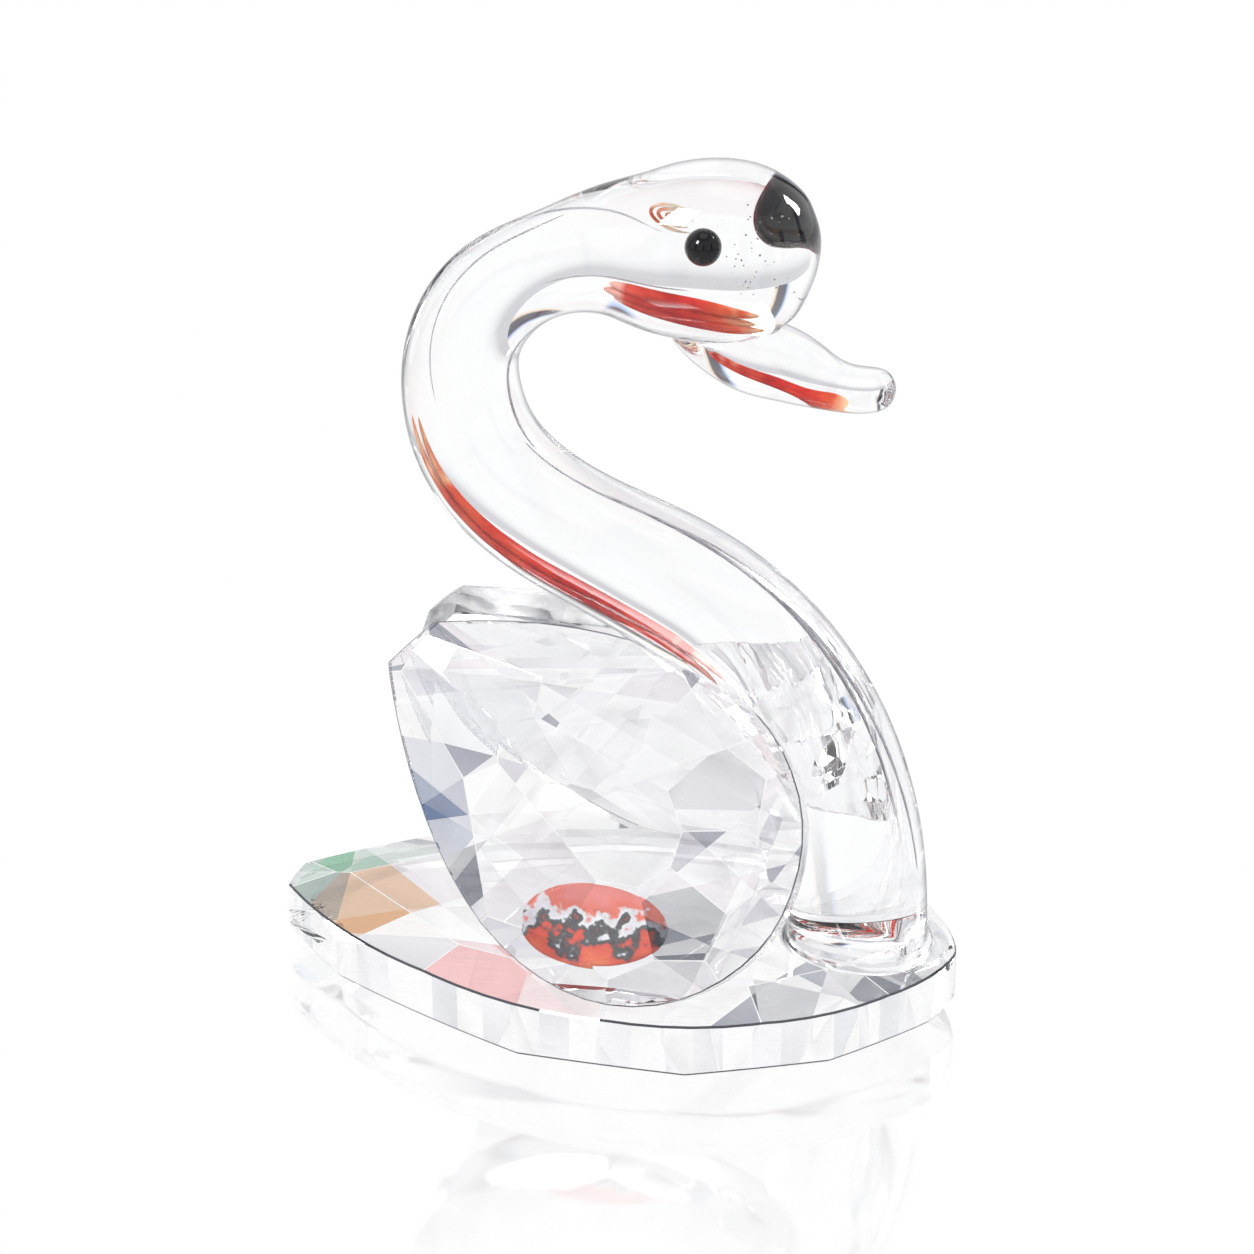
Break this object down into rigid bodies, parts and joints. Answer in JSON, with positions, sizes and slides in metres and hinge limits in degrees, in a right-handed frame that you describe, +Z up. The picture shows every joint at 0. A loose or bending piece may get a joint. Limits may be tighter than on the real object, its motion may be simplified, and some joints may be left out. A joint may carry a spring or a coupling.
{
  "type": "swan figurine",
  "caption": "Small clear crystal swan: a pear-shaped cut base, two faceted wings leaning together over it, and a bent glass neck with head, beak and black eyes.",
  "frame": {"origin": "middle of the base's outline, on the surface that the swan stands on", "axes": "+X the way the swan faces, +Y the swan's left side, +Z up"},
  "size_m": [0.064, 0.0406, 0.0802],
  "materials": {
    "cut_crystal": "polished facets, clear",
    "drawn_glass": "fire polished, clear",
    "black_glass": "gloss, opaque black"
  },
  "bodies": {
    "root": {"base": "cut_crystal", "wing_right": "cut_crystal", "wing_left": "cut_crystal", "neck_and_head": "drawn_glass", "eye_right": "black_glass", "eye_left": "black_glass"}
  },
  "joints": []
}
